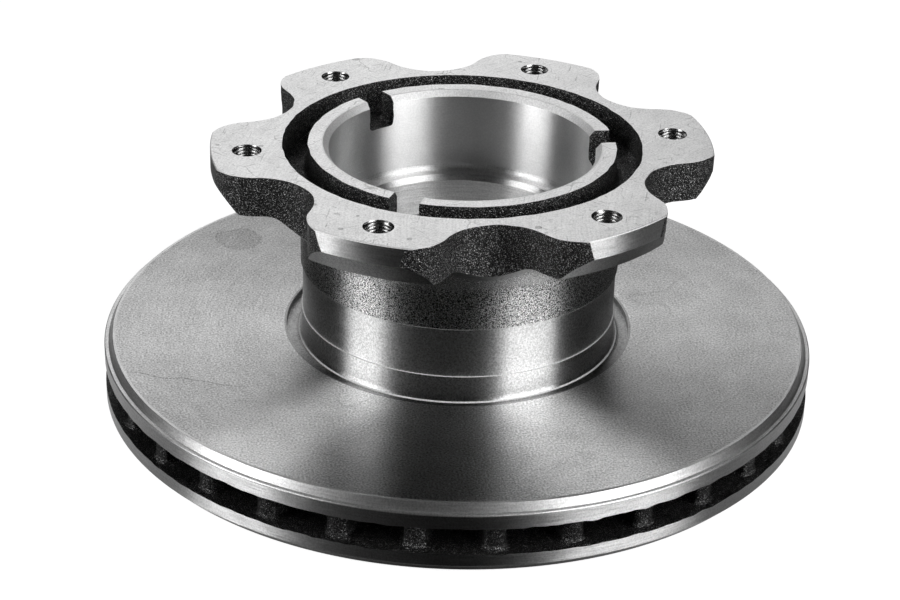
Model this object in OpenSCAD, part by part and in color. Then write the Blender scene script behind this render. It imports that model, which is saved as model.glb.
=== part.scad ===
// Ventilated brake disc with a long neck, cast in one piece and turned.
// The friction ring lies on the XY plane, the neck rises along +Z and ends in
// a lobed flange with tapped holes. All sizes are in millimetres.

/* [Friction ring] */
// Outer diameter of both friction plates
ring_od = 304; // [290:1:330]
// Thickness over both friction faces
ring_t = 30; // [28:0.5:34]
// Thickness of the plate that carries the neck
outer_plate_t = 9.6; // [9:0.1:11]
// Thickness of the free plate
inner_plate_t = 9; // [8.5:0.1:10.5]
// Diameter at which both friction faces end
face_od = 296.8; // [286:0.2:298]
// Depth of the wear step round each friction face
step_depth = 3.3; // [2:0.1:4]
// Width of the bevel that leads down to the wear step
bevel_w = 1.8; // [1:0.1:2]
// Chamfer on the edges of the rim
rim_chamfer = 0.4; // [0.2:0.1:0.8]
// Inner diameter of the free plate
plate_id = 146; // [138:1:150]
// Chamfer on the inner edges of the free plate
plate_chamfer = 1.2; // [0.5:0.1:2]

/* [Vanes] */
// Number of vanes between the plates
vane_count = 30; // [20:1:36]
// Thickness of a vane
vane_t = 8; // [4:0.1:9]
// Fillet of a vane on the free plate
vane_low_fillet = 2; // [0.6:0.1:2.2]
// Fillet of a vane on the outer plate
vane_high_fillet = 1.4; // [0.6:0.1:2.2]
// Distance from the rim to the outer end of a vane
vane_setback = 3.6; // [2.4:0.1:8]
// Diameter on which the vanes begin
vane_start_d = 158; // [156:1:170]
// Angle of the first vane
vane_angle = 3; // [0:0.5:12]

/* [Neck] */
// Diameter of the turned land at the foot of the neck
foot_d = 135.2; // [134.6:0.2:137]
// Height of the foot land above the friction face
foot_h = 9.4; // [6:0.2:14]
// Diameter of the turned middle of the neck
neck_d = 134; // [130:0.2:134.2]
// Height above the friction face at which the turning stops
turned_h = 31; // [22:0.5:36]
// Diameter of the neck where it is left as cast
cast_d = 135.6; // [134.6:0.2:138]
// Outer diameter of the relief groove round the foot
relief_od = 148; // [145:0.5:152]
// Depth of the relief groove
relief_depth = 2.5; // [1.5:0.1:4]
// Fillet between the foot and the floor of the relief groove
foot_fillet = 2.8; // [1.5:0.1:3.6]

/* [Flange] */
// Height of the whole disc
disc_h = 114; // [106:0.5:126]
// Turned diameter over the lobes
flange_od = 210; // [206:0.5:216]
// Height of the turned edge of the lobes
flange_edge_h = 8.4; // [6:0.2:11]
// Thickness of the lobes
lobe_t = 17.3; // [15:0.1:20]
// Width of the cone turned under the edge of the lobes
edge_cone_w = 6; // [4:0.2:8]
// Chamfer on the top edge of the lobes
edge_chamfer = 0.5; // [0.3:0.1:1]
// Diameter at which the web under the flange would meet the lobes
web_d = 171.4; // [166:0.2:176]
// Angle of the web, from level
web_angle = 45; // [38:1:50]
// Fillet between neck and web
neck_fillet = 8; // [4:0.5:12]
// Fillet between web and lobes
lobe_fillet = 6.5; // [4:0.5:8]

/* [Lobes] */
// Number of lobes, each with one tapped hole
lobe_count = 6; // [4:1:6]
// Diameter over the lobes as cast, before they are turned
lobe_cast_d = 212.6; // [211:0.2:220]
// Distance from the axis to the bottom of each scallop
scallop_depth = 80.4; // [78:0.2:84]
// Radius of the bottom of each scallop
scallop_r = 23; // [18:0.5:26]
// Radius of the shoulders of each lobe
shoulder_r = 13; // [8:0.5:16]
// Shift of the casting against the turned axis, along X
cast_shift_x = 0; // [-1:0.1:1]
// Shift of the casting against the turned axis, along Y
cast_shift_y = -0.8; // [-1:0.1:1]

/* [Tapped holes] */
// Diameter of the bolt circle
bolt_circle_d = 180; // [176:0.5:184]
// Core diameter of the thread
thread_core_d = 10.4; // [8.4:0.1:12]
// Diameter of the countersunk mouth
mouth_d = 12.4; // [12.2:0.1:14]

/* [Pilot ring] */
// Diameter of the pilot bore
pilot_d = 112; // [108:0.2:114]
// Diameter at which the lead-in of the pilot bore starts
lead_d = 116.4; // [115:0.2:118]
// Depth of the lead-in
lead_h = 2.6; // [1:0.1:4]
// Distance from the top to the shoulder under the pilot bore
shoulder_depth = 37.6; // [32:0.2:40]
// Fillet in the corner over the shoulder
shoulder_fillet = 3.4; // [1:0.1:5]
// Diameter of the clearance bore under the shoulder
clear_d = 100; // [96:0.5:102]
// Width of the chamfer at the top of the clearance bore
clear_chamfer_w = 1.6; // [1:0.1:1.8]
// Height of that chamfer
clear_chamfer_h = 2.4; // [1:0.1:4]
// Length of the clearance bore, with its chamfer
clear_h = 18; // [12:0.5:22]
// Diameter of the cast hollow inside the neck
hollow_d = 116; // [108:0.5:118]
// Rounding where the hollow opens into the vents
hollow_r = 4; // [2:0.5:5]

/* [Groove and slots] */
// Outer diameter of the cast groove in the flange
groove_od = 150.4; // [147:0.2:154]
// Inner diameter of the cast groove
groove_id = 128.8; // [126:0.2:132]
// Depth of the groove and of the slots
groove_depth = 13.2; // [8:0.2:15]
// Draft of each side of the groove, as a width
groove_draft = 0.5; // [0.2:0.1:1]
// Fillet on the floor of the groove
groove_fillet = 3; // [1:0.5:4]
// Number of slots through the pilot ring
slot_count = 3; // [2:1:6]
// Width of each slot
slot_w = 12.8; // [8:0.2:16]
// Fillet on the floor of each slot
slot_fillet = 1.6; // [0.8:0.2:3]

/* [Hidden] */
$fn = 180;
iron = "dimgray";
over = 1;         // how far a cutting tool reaches past what it cuts
sink = 0.6;       // how deep a vane is rooted in each plate
toe = 0.05;       // how deep its fillets run out in the plates
arc_steps = 6;    // facets of a fillet
ring_r = ring_od / 2;
face_r = face_od / 2;
vent_low = inner_plate_t;
vent_high = ring_t - outer_plate_t;
relief_floor = ring_t - relief_depth;
foot_top = ring_t + foot_h;
turned_top = ring_t + turned_h;
neck_step = (foot_d - neck_d) / 2;
edge_low = disc_h - flange_edge_h;
lobe_low = disc_h - lobe_t;
web_foot_z = lobe_low - (web_d - cast_d) / 2 * tan(web_angle);
neck_tangent = neck_fillet * tan((90 - web_angle) / 2);
lobe_tangent = lobe_fillet * tan(web_angle / 2);
groove_floor = disc_h - groove_depth;
shoulder_z = disc_h - shoulder_depth;
clear_low = shoulder_z - clear_h;
hollow_top = clear_low - (hollow_d - clear_d) / 2;
lobe_pitch = 360 / lobe_count;
mouth_h = (mouth_d - thread_core_d) / 2;

// Points of a round stretch about [cx, cy], from angle a0 to angle a1.
function arc(cx, cy, r, a0, a1, steps = arc_steps) =
    [for (i = [0:steps]) let (a = a0 + (a1 - a0) * i / steps) [cx + r * cos(a), cy + r * sin(a)]];

// Outside of the section, from the rim of the outer plate up to the edge of a lobe.
function outside() = concat(
    [[ring_r, vent_high],
     [ring_r, ring_t - step_depth - rim_chamfer],
     [ring_r - rim_chamfer, ring_t - step_depth],
     [face_r + bevel_w, ring_t - step_depth],
     [face_r, ring_t],
     [relief_od / 2, ring_t],
     [relief_od / 2, relief_floor]],
    arc(foot_d / 2 + foot_fillet, relief_floor + foot_fillet, foot_fillet, 270, 180),
    [[foot_d / 2, foot_top - neck_step],
     [neck_d / 2, foot_top],
     [neck_d / 2, turned_top],
     [cast_d / 2, turned_top]],
    arc(cast_d / 2 + neck_fillet, web_foot_z - neck_tangent, neck_fillet, 180, 90 + web_angle),
    arc(web_d / 2 + lobe_tangent, lobe_low - lobe_fillet, lobe_fillet, 90 + web_angle, 90),
    [[flange_od / 2 - edge_cone_w, lobe_low],
     [flange_od / 2, edge_low],
     [flange_od / 2, disc_h - edge_chamfer],
     [flange_od / 2 - edge_chamfer, disc_h]]);

// Inside of the section, from the lead-in of the pilot bore down to the vents.
function inside() = concat(
    [[lead_d / 2, disc_h],
     [pilot_d / 2, disc_h - lead_h]],
    arc(pilot_d / 2 - shoulder_fillet, shoulder_z + shoulder_fillet, shoulder_fillet, 0, -90),
    [[clear_d / 2 + clear_chamfer_w, shoulder_z],
     [clear_d / 2, shoulder_z - clear_chamfer_h],
     [clear_d / 2, clear_low],
     [hollow_d / 2, hollow_top]],
    arc(hollow_d / 2 + hollow_r, vent_high + hollow_r, hollow_r, 180, 270));

// Outer plate, neck and flange, turned as one body.
module neck_and_flange() {
    rotate_extrude() polygon(concat(outside(), inside()));
}

// Free plate, with the same wear step on its own face.
module free_plate() {
    rotate_extrude() polygon([
        [plate_id / 2 + plate_chamfer, 0],
        [face_r, 0],
        [face_r + bevel_w, step_depth],
        [ring_r - rim_chamfer, step_depth],
        [ring_r, step_depth + rim_chamfer],
        [ring_r, vent_low],
        [plate_id / 2 + plate_chamfer, vent_low],
        [plate_id / 2, vent_low - plate_chamfer],
        [plate_id / 2, plate_chamfer]]);
}

// Half of the section of a vane: its root and fillet on the free plate, its
// side, and its fillet and root on the outer plate.
function vane_half() = concat(
    [[vane_t / 2 + vane_low_fillet, vent_low - sink]],
    arc(vane_t / 2 + vane_low_fillet, vent_low - toe + vane_low_fillet, vane_low_fillet, 270, 180, 4),
    arc(vane_t / 2 + vane_high_fillet, vent_high + toe - vane_high_fillet, vane_high_fillet, 180, 90, 4),
    [[vane_t / 2 + vane_high_fillet, vent_high + sink]]);

// The section carried round the end of a vane, as half a turn.
module vane_end() {
    rotate(-90) rotate_extrude(angle = 180)
        polygon(concat([[0, vent_low - sink]], vane_half(), [[0, vent_high + sink]]));
}

// One straight radial vane with round ends.
module vane() {
    half = vane_half();
    inner = vane_start_d / 2 + vane_t / 2;
    outer = ring_r - vane_setback - vane_t / 2;
    translate([inner, 0, 0]) rotate([90, 0, 90]) linear_extrude(outer - inner)
        polygon(concat(half, [for (i = [len(half) - 1:-1:0]) [-half[i][0], half[i][1]]]));
    translate([outer, 0, 0]) vane_end();
    translate([inner, 0, 0]) rotate(180) vane_end();
}

module vanes() {
    for (i = [0:vane_count - 1]) rotate(vane_angle + i * 360 / vane_count) vane();
}

// Plan of one scallop: a round bottom and two round shoulders that run out
// into the cast outline of the lobes. It opens towards +X.
module scallop_plan() {
    cast_r = lobe_cast_d / 2;
    bottom_x = scallop_depth + scallop_r;
    reach = cast_r - shoulder_r;
    gap = scallop_r + shoulder_r;
    shoulder_x = (reach * reach - gap * gap + bottom_x * bottom_x) / (2 * bottom_x);
    shoulder_y = sqrt(reach * reach - shoulder_x * shoulder_x);
    meet = atan2(shoulder_y, shoulder_x - bottom_x);
    run_out = atan2(shoulder_y, shoulder_x);
    shoulder = arc(shoulder_x, shoulder_y, shoulder_r, meet - 180, run_out, 10);
    bottom = arc(bottom_x, 0, scallop_r, meet, 360 - meet, 20);
    far = (cast_r + over) / cos(run_out);
    polygon(concat(
        [[far * cos(run_out), far * sin(run_out)]],
        [for (i = [10:-1:1]) shoulder[i]],
        bottom,
        [for (i = [1:10]) [shoulder[i][0], -shoulder[i][1]]],
        [[far * cos(run_out), -far * sin(run_out)]]));
}

// The scallops between the lobes, moved with the casting.
module scallops() {
    translate([cast_shift_x, cast_shift_y, web_foot_z])
        linear_extrude(disc_h - web_foot_z + over)
            for (i = [0:lobe_count - 1]) rotate((i + 0.5) * lobe_pitch) scallop_plan();
}

// Tapped holes at thread core size, with their countersunk mouths.
module tapped_holes() {
    for (i = [0:lobe_count - 1]) rotate(i * lobe_pitch) translate([bolt_circle_d / 2, 0, 0]) {
        translate([0, 0, lobe_low - lobe_fillet - over])
            cylinder(d = thread_core_d, h = lobe_t + lobe_fillet + 2 * over);
        translate([0, 0, disc_h - mouth_h])
            cylinder(d1 = thread_core_d, d2 = mouth_d + 2 * over, h = mouth_h + over);
    }
}

// Ring-shaped groove between the flange and the pilot ring.
module groove() {
    low_out = groove_od / 2 - groove_draft;
    low_in = groove_id / 2 + groove_draft;
    rotate_extrude() polygon(concat(
        [[groove_id / 2, disc_h + over],
         [groove_id / 2, disc_h]],
        arc(low_in + groove_fillet, groove_floor + groove_fillet, groove_fillet, 180, 270),
        arc(low_out - groove_fillet, groove_floor + groove_fillet, groove_fillet, 270, 360),
        [[groove_od / 2, disc_h],
         [groove_od / 2, disc_h + over]]));
}

// Slots through the pilot ring, from the bore into the groove.
module slots() {
    depth = (groove_od + groove_id) / 4;
    for (i = [0:slot_count - 1]) rotate(i * 360 / slot_count)
        rotate([90, 0, 90]) translate([0, 0, clear_d / 4])
            linear_extrude(depth - clear_d / 4) polygon(concat(
                arc(-slot_w / 2 + slot_fillet, groove_floor + slot_fillet, slot_fillet, 180, 270, 4),
                arc(slot_w / 2 - slot_fillet, groove_floor + slot_fillet, slot_fillet, 270, 360, 4),
                [[slot_w / 2, disc_h + over],
                 [-slot_w / 2, disc_h + over]]));
}

module brake_disc() {
    color(iron) difference() {
        union() {
            neck_and_flange();
            free_plate();
            vanes();
        }
        scallops();
        tapped_holes();
        groove();
        slots();
    }
}

brake_disc();
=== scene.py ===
"""Visual model of a ventilated brake disc: one casting, turned, milled and tapped."""

import logging
import math
from dataclasses import dataclass, field
from enum import Enum

import bmesh
import bpy
import numpy as np
from mathutils import Matrix, Vector


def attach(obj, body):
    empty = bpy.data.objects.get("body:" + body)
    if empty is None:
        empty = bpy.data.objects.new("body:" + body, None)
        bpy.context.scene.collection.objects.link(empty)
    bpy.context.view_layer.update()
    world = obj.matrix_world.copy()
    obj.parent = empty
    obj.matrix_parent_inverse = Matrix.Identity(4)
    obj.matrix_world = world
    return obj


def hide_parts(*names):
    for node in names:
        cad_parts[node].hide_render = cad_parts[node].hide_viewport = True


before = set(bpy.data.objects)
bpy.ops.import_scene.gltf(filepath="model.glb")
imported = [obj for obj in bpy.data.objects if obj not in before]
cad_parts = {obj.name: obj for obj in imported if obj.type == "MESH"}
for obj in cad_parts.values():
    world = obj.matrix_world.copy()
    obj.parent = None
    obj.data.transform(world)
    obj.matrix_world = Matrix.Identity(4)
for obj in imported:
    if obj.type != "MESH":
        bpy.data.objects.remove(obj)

LOG = logging.getLogger("brake_disc")
TO_METRES = 0.001
COLUMNS = 360
WELD_DIGITS = 4


class Skin(Enum):
    """How a stretch of the casting's surface was made; three skins are darker or lighter copies of a finish
    that carry painted shade or a painted highlight. The value is its material index.
    """

    TURNED = 0
    FRICTION = 1
    MILLED = 2
    CAST = 3
    BLASTED = 4
    THREAD = 5
    BORE = 6
    NECK = 7
    VENT_PAINTED_SHADE = 8
    TURNED_PAINTED_SHADE = 9
    STEP = 10
    EDGE = 11


# Plain geometry


def arc(centre: tuple[float, float], radius: float, start: float, end: float, steps: int) -> np.ndarray:
    """Points of a round stretch in a plane: centre plus radius times (cos a, sin a).

    Args:
        centre: Centre of the arc.
        radius: Its radius.
        start: First angle, in degrees.
        end: Last angle, in degrees.
        steps: Number of stretches between the points.

    Returns:
        Array of (steps + 1, 2) points.
    """
    angle = np.radians(np.linspace(start, end, steps + 1))
    return np.stack([centre[0] + radius * np.cos(angle), centre[1] + radius * np.sin(angle)], axis=1)


def eased(corners: list[tuple[float, float, float]], steps: int = 2) -> np.ndarray:
    """A profile of straight stretches whose corners are rounded.

    Each inner corner is swapped for the arc of its own radius that touches both
    stretches: the arc starts and ends at radius / tan(half the corner's angle).

    Args:
        corners: Points as (r, z, radius of the rounding); radius 0 keeps the corner.
        steps: Stretches of each arc.

    Returns:
        Array of (n, 2) profile points.
    """
    points = np.array([c[:2] for c in corners], float)
    out = [points[:1]]
    for i in range(1, len(corners) - 1):
        radius = corners[i][2]
        if radius <= 0:
            out.append(points[i : i + 1])
            continue
        back = points[i - 1] - points[i]
        ahead = points[i + 1] - points[i]
        back, ahead = back / np.linalg.norm(back), ahead / np.linalg.norm(ahead)
        half = math.acos(float(np.clip(back @ ahead, -1, 1))) / 2
        middle = (back + ahead) / np.linalg.norm(back + ahead)
        centre = points[i] + middle * radius / math.sin(half)
        first = points[i] + back * radius / math.tan(half) - centre
        last = points[i] + ahead * radius / math.tan(half) - centre
        a0, a1 = math.atan2(first[1], first[0]), math.atan2(last[1], last[0])
        turn = (a1 - a0 + math.pi) % (2 * math.pi) - math.pi
        out.append(arc(tuple(centre), radius, math.degrees(a0), math.degrees(a0 + turn), steps))
    out.append(points[-1:])
    return np.concatenate(out)


def polar_grid(radius: np.ndarray, angle: np.ndarray, height: np.ndarray) -> np.ndarray:
    """Grid of points (r cos a, r sin a, z) from broadcast arrays; angles are in degrees."""
    radius, angle, height = np.broadcast_arrays(radius, np.radians(angle), height)
    return np.stack([radius * np.cos(angle), radius * np.sin(angle), height], axis=-1)


def turned(degrees: float) -> np.ndarray:
    """Matrix that turns rows (x, y, z) about the axis by an angle, as points @ matrix."""
    a = math.radians(degrees)
    return np.array([[math.cos(a), math.sin(a), 0], [-math.sin(a), math.cos(a), 0], [0, 0, 1]])


def revolved(profile: np.ndarray, angle: np.ndarray) -> np.ndarray:
    """Grid of a profile (r, z) carried round the axis through the given angles."""
    return polar_grid(profile[:, :1], angle[None, :], profile[:, 1:])


class Ripple:
    """Unevenness of a cast wall: a sum of plane waves with seeded directions and phases."""

    def __init__(self, seed: int, wavelength: float, waves: int = 20) -> None:
        """Draw the waves.

        Args:
            seed: Seed of the random numbers, so that each run is the same.
            wavelength: Mean distance between two crests, in millimetres.
            waves: Number of waves that are added.
        """
        draw = np.random.default_rng(seed)
        heading = draw.normal(size=(waves, 3))
        heading /= np.linalg.norm(heading, axis=1, keepdims=True)
        length = wavelength * draw.uniform(0.7, 1.5, waves)
        self._wave = heading * (2 * math.pi / length)[:, None]
        self._phase = draw.uniform(0, 2 * math.pi, waves)

    def at(self, points: np.ndarray) -> np.ndarray:
        """Height at each point: the sum of cos(k . p + phase), scaled to unit spread."""
        return np.cos(points @ self._wave.T + self._phase).sum(axis=-1) / math.sqrt(len(self._phase) / 2)


class Shell:
    """Surface patches in millimetres that are welded into one closed mesh."""

    def __init__(self) -> None:
        """Start with no patches."""
        self._points: list[np.ndarray] = []
        self._quads: list[np.ndarray] = []
        self._skins: list[np.ndarray] = []
        self._count = 0

    def add(self, grid: np.ndarray, skin: Skin) -> None:
        """Add a grid of points as a patch of quads.

        Args:
            grid: Array of (rows, columns, 3) points.
            skin: The patch's kind of surface.
        """
        rows, columns = grid.shape[:2]
        index = np.arange(rows * columns).reshape(rows, columns) + self._count
        quads = np.stack([index[:-1, :-1], index[:-1, 1:], index[1:, 1:], index[1:, :-1]], axis=-1)
        self._points.append(grid.reshape(-1, 3))
        self._quads.append(quads.reshape(-1, 4))
        self._skins.append(np.full(quads.size // 4, skin.value))
        self._count += rows * columns

    def to_object(self, name: str, materials: list[bpy.types.Material]) -> bpy.types.Object:
        """Weld the patches where their points meet, and make the object.

        Points that agree to WELD_DIGITS decimals of a millimetre become one. A quad
        that lost one corner becomes a triangle, and one that lost two is dropped.

        Args:
            name: Name of the object and of its mesh.
            materials: Materials in the order of Skin.

        Returns:
            The object, with its normals pointing outwards.
        """
        points = np.concatenate(self._points)
        quads = np.concatenate(self._quads)
        skins = np.concatenate(self._skins)
        near = np.round(points, WELD_DIGITS)
        _, first, inverse = np.unique(near, axis=0, return_index=True, return_inverse=True)
        quads = inverse.reshape(-1)[quads]
        same = quads == np.roll(quads, -1, axis=1)
        crossed = (quads[:, 0] == quads[:, 2]) | (quads[:, 1] == quads[:, 3])
        whole = (same.sum(axis=1) == 0) & ~crossed
        short = (same.sum(axis=1) == 1) & ~crossed
        triangles = quads[short][~same[short]].reshape(-1, 3)
        mesh = bpy.data.meshes.new(name)
        faces = quads[whole].tolist() + triangles.tolist()
        mesh.from_pydata((points[first] * TO_METRES).tolist(), [], faces)
        kept = np.concatenate([skins[whole], skins[short]]).astype(np.int32)
        mesh.polygons.foreach_set("material_index", kept)
        for material in materials:
            mesh.materials.append(material)
        work = bmesh.new()
        work.from_mesh(mesh)
        bmesh.ops.recalc_face_normals(work, faces=work.faces)
        work.to_mesh(mesh)
        work.free()
        mesh.update()
        piece = bpy.data.objects.new(name, mesh)
        bpy.context.scene.collection.objects.link(piece)
        return piece


# The casting


@dataclass
class FrictionRing:
    """Two friction plates joined by radial vanes. Sizes are in millimetres."""

    rim_r: float = 152.0
    bevel_r: float = 150.2
    face_r: float = 148.4
    step: float = 3.3
    chamfer: float = 0.4
    top: float = 30.0
    low_vent: float = 9.0
    high_vent: float = 20.4
    plate_r: float = 73.0
    mouth_r: float = 62.0
    vanes: int = 30
    first_vane: float = 3.0
    vane_t: float = 8.6
    vane_nose: float = 2.2
    vane_start: float = 79.0
    vane_end: float = 148.4
    nose_steps: int = 5
    side_points: int = 4
    tail_steps: int = 4
    low_fillet: float = 2.0
    high_fillet: float = 1.4
    rim_land: float = 0.3
    face_land: float = 1.2
    inner_chamfer: float = 1.2
    edge_rise: float = 0.16
    vent_rise: float = 0.18
    calm_rim: float = 2.0
    calm_wall: float = 4.0
    edge: Ripple = field(default_factory=lambda: Ripple(3, 8.0))
    relief: Ripple = field(default_factory=lambda: Ripple(4, 6.0))

    def vent_edge(self, angle: np.ndarray, height: float) -> np.ndarray:
        """Height of a vent's cast edge on the rim: its own height plus edge_rise times the ripple."""
        return height + self.edge_rise * self.edge.at(polar_grid(self.rim_r, angle, height))

    def rim_band(self, low: np.ndarray, high: np.ndarray, angle: np.ndarray) -> np.ndarray:
        """Cylinder of the rim between two heights that both follow the angle."""
        return polar_grid(self.rim_r, angle[None, :], np.stack([low, (low + high) / 2, high]))

    def edge_profile(self, rounding: float) -> np.ndarray:
        """Profile of a plate's edge: rim, chamfer, wear step, bevel and the start of its face.

        Args:
            rounding: Radius of the rounding between the bevel and the face.

        Returns:
            Array of (n, 2) points as radius and distance from the plane of the face.
        """
        return eased(
            [
                (self.rim_r, self.step + self.chamfer + self.rim_land, 0),
                (self.rim_r, self.step + self.chamfer, 0.2),
                (self.rim_r - self.chamfer, self.step, 0.1),
                (self.bevel_r, self.step, 0.15),
                (self.face_r, 0, rounding),
                (self.face_r - self.face_land, 0, 0),
            ]
        )

    def free_plate(self, shell: Shell, angle: np.ndarray) -> None:
        """Add the plate that nothing carries but the vanes: rim, wear step, face and inner wall.

        Args:
            shell: Shell that takes the patches.
            angle: Angles of the columns.
        """
        bevel = self.edge_profile(0.3)
        band = self.rim_band(np.full(angle.shape, bevel[0, 1]), self.vent_edge(angle, self.low_vent), angle)
        shell.add(band, Skin.TURNED)
        shell.add(revolved(bevel, angle), Skin.STEP)
        face_end = self.plate_r + 2 * self.inner_chamfer
        face = np.array([[self.face_r - self.face_land, 0], [110, 0], [face_end, 0]])
        shell.add(revolved(face, angle), Skin.FRICTION)
        inner = eased(
            [
                (face_end, 0, 0),
                (self.plate_r + self.inner_chamfer, 0, 0.2),
                (self.plate_r, self.inner_chamfer, 0.2),
                (self.plate_r, self.low_vent, 0),
            ]
        )
        shell.add(revolved(inner, angle), Skin.TURNED)

    def half_loop(self, grown: float) -> np.ndarray:
        """Plan of half a vane, from the tip near the rim round one side to the inner tip.

        The outer end is half an ellipse, as blunt as vane_nose, and the inner one a half circle.

        Args:
            grown: How much wider than the vane the loop is all round.

        Returns:
            Array of (n, 2) points; x runs along the vane.
        """
        radius = self.vane_t / 2
        blunt = [(self.vane_nose + grown) / (radius + grown), 1]
        tip = arc((0, 0), radius + grown, 0, 90, self.nose_steps)
        nose = tip * blunt + [self.vane_end - self.vane_nose, 0]
        tail = arc((self.vane_start + radius, 0), radius + grown, 90, 180, self.tail_steps)
        share = np.linspace(0, 1, self.side_points + 2)[1:-1, None]
        return np.concatenate([nose, nose[-1] + (tail[0] - nose[-1]) * share, tail])

    def vent_plane(self, height: float, grown: float, inner_r: float) -> list[np.ndarray]:
        """Floor or ceiling of every vent, as one grid for the sector between two vanes.

        Each row is an arc about the axis from one vane's outline to the next
        one's, so its rows follow the vanes and run out to the rim and the mouth.
        The cast unevenness fades over calm_wall inside and calm_rim outside.

        Args:
            height: Height of the plane.
            grown: Width of the fillet at the foot of each vane.
            inner_r: Radius at which the plane ends.

        Returns:
            One grid for each sector.
        """
        loop = self.half_loop(grown)
        reach = np.hypot(loop[:, 0], loop[:, 1])
        swing = np.degrees(np.arctan2(loop[:, 1], loop[:, 0]))
        outer = np.array([self.rim_r, (self.rim_r + reach[0]) / 2])
        inner = np.linspace(reach[-1], inner_r, 4)[1:]
        radius = np.concatenate([outer, reach, inner])
        swing = np.concatenate([np.zeros(2), swing, np.zeros(3)])
        pitch = 360 / self.vanes
        share = np.linspace(0, 1, COLUMNS // self.vanes + 1)[None, :]
        calm = self.calm(radius, inner_r)
        grids = []
        for k in range(self.vanes):
            start = self.first_vane + k * pitch
            angle = start + swing[:, None] + (pitch - 2 * swing[:, None]) * share
            grid = polar_grid(radius[:, None], angle, height)
            grid[..., 2] += self.vent_rise * calm[:, None] * self.relief.at(grid)
            grid[0, :, 2] = self.vent_edge(angle[0], height)
            grids.append(grid)
        return grids

    def calm(self, radius: np.ndarray, inner_r: float) -> np.ndarray:
        """Weight of the unevenness over the radius: 1 inside a plate and 0 at the rim and at inner_r."""
        inner = np.clip((radius - inner_r) / self.calm_wall, 0, 1)
        return inner * np.clip((self.rim_r - radius) / self.calm_rim, 0, 1)

    @staticmethod
    def fillet_rows(plane: float, fillet: float) -> np.ndarray:
        """Rows of the fillet at a vane's foot: height, and how far the loop has grown there.

        For a from 0 to 90 degrees the height runs as fillet * (1 - cos a) and
        the growth as fillet * (1 - sin a).

        Args:
            plane: Height of the plate's surface.
            fillet: Radius of the fillet, negative for one that hangs from the plate.

        Returns:
            Array of (4, 2) rows, from the plate on.
        """
        a = np.radians([0, 30, 60, 90])
        return np.stack([plane + fillet * (1 - np.cos(a)), abs(fillet) * (1 - np.sin(a))], axis=1)

    def vane_walls(self) -> list[np.ndarray]:
        """Both sides of every vane, with the fillets that run out on the plates.

        The loop grows towards a plate by f - sqrt(f^2 - (f - h)^2), where f is
        the fillet and h the height over the plate.

        Returns:
            Two grids for each vane.
        """
        foot = self.fillet_rows(self.low_vent, self.low_fillet)
        head = self.fillet_rows(self.high_vent, -self.high_fillet)
        stations = np.concatenate([foot, head[::-1]])
        loops = np.stack([self.half_loop(grown) for grown in stations[:, 1]])
        height = np.broadcast_to(stations[:, :1], loops.shape[:2])
        grids = []
        for k in range(self.vanes):
            for side in (1, -1):
                flat = np.stack([loops[..., 0], side * loops[..., 1], height], axis=-1)
                grid = flat @ turned(self.first_vane + k * 360 / self.vanes)
                rise = self.vent_rise * self.relief.at(grid)
                radius = np.hypot(grid[..., 0], grid[..., 1])
                grid[0, :, 2] += self.calm(radius[0], self.plate_r) * rise[0]
                grid[-1, :, 2] += self.calm(radius[-1], self.mouth_r) * rise[-1]
                grids.append(grid)
        return grids

    def build(self, shell: Shell, angle: np.ndarray) -> None:
        """Add the free plate and the vents to the shell."""
        self.free_plate(shell, angle)
        floors = self.vent_plane(self.low_vent, self.low_fillet, self.plate_r)
        ceilings = self.vent_plane(self.high_vent, self.high_fillet, self.mouth_r)
        # Vent floors, ceilings and vane walls take the darker cast skin, which paints their shade.
        for grid in floors + ceilings + self.vane_walls():
            shell.add(grid, Skin.VENT_PAINTED_SHADE)
        LOG.info("friction ring: %d vanes", self.vanes)


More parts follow.
